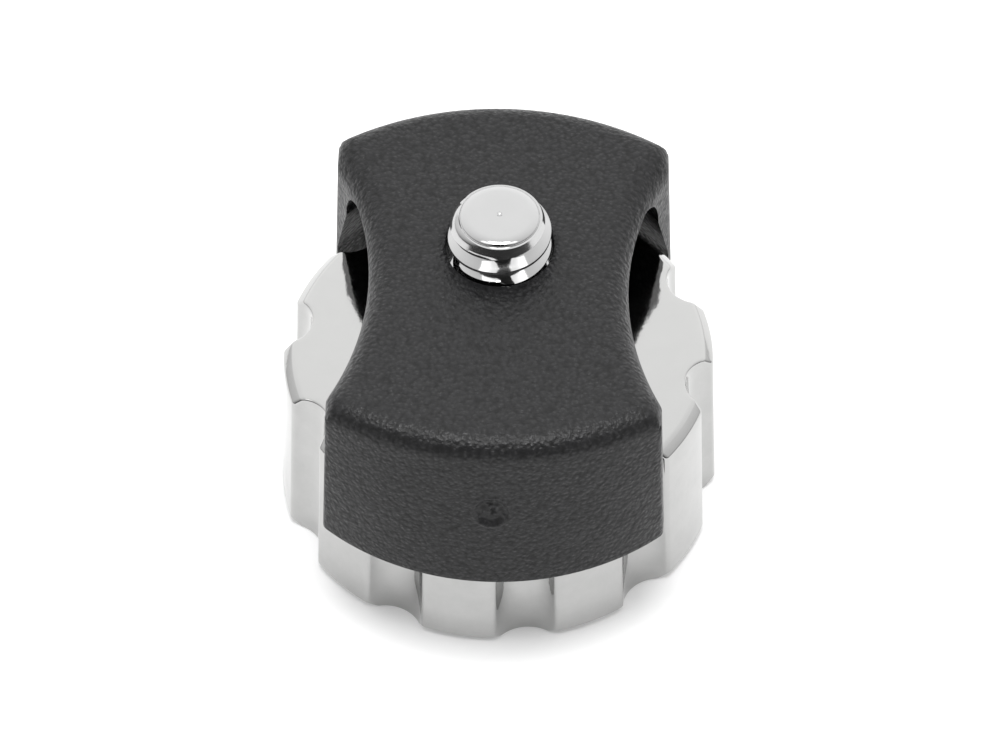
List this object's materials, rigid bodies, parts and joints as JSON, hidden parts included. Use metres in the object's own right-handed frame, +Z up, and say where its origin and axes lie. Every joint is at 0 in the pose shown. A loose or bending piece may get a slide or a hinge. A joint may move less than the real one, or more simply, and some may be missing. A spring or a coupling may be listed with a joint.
{
  "type": "thumb wheel screw mount",
  "caption": "Small screw mount: a saddle-shaped hood with a fixed stud on top straddles a castellated thumb wheel that turns on its own spindle and clamps from below.",
  "frame": {"origin": "on the wheel's axis, in the plane of the wheel's bottom face", "axes": "+Z up along the wheel's spindle and the stud; Y along the hood from the front skirt (-Y) to the back skirt (+Y); the open windows face +X and -X"},
  "size_m": [0.027, 0.0308, 0.0223],
  "materials": {
    "hood_plastic": "fine spark-eroded grain, satin",
    "bright_chrome": "polished plating",
    "plain_steel": "zinc plated",
    "bearing_plastic": "natural",
    "bearing_brass": "turned"
  },
  "bodies": {
    "mount_head": {"hood": "hood_plastic", "stud": "bright_chrome", "core_plate": "plain_steel", "plate_screws": "plain_steel", "spindle": "plain_steel", "thrust_washer": "bearing_plastic", "clip_washer": "plain_steel", "retaining_ring": "plain_steel"},
    "clamp_wheel": {"wheel": "bright_chrome", "bush": "bearing_brass", "wave_washer": "plain_steel", "insert": "bearing_brass"}
  },
  "joints": [
    {"name": "wheel_spin", "type": "hinge", "parent": "mount_head", "child": "clamp_wheel", "pos_m": [0, 0, 0.0056], "axis": [0, 0, 1], "continuous": true}
  ]
}
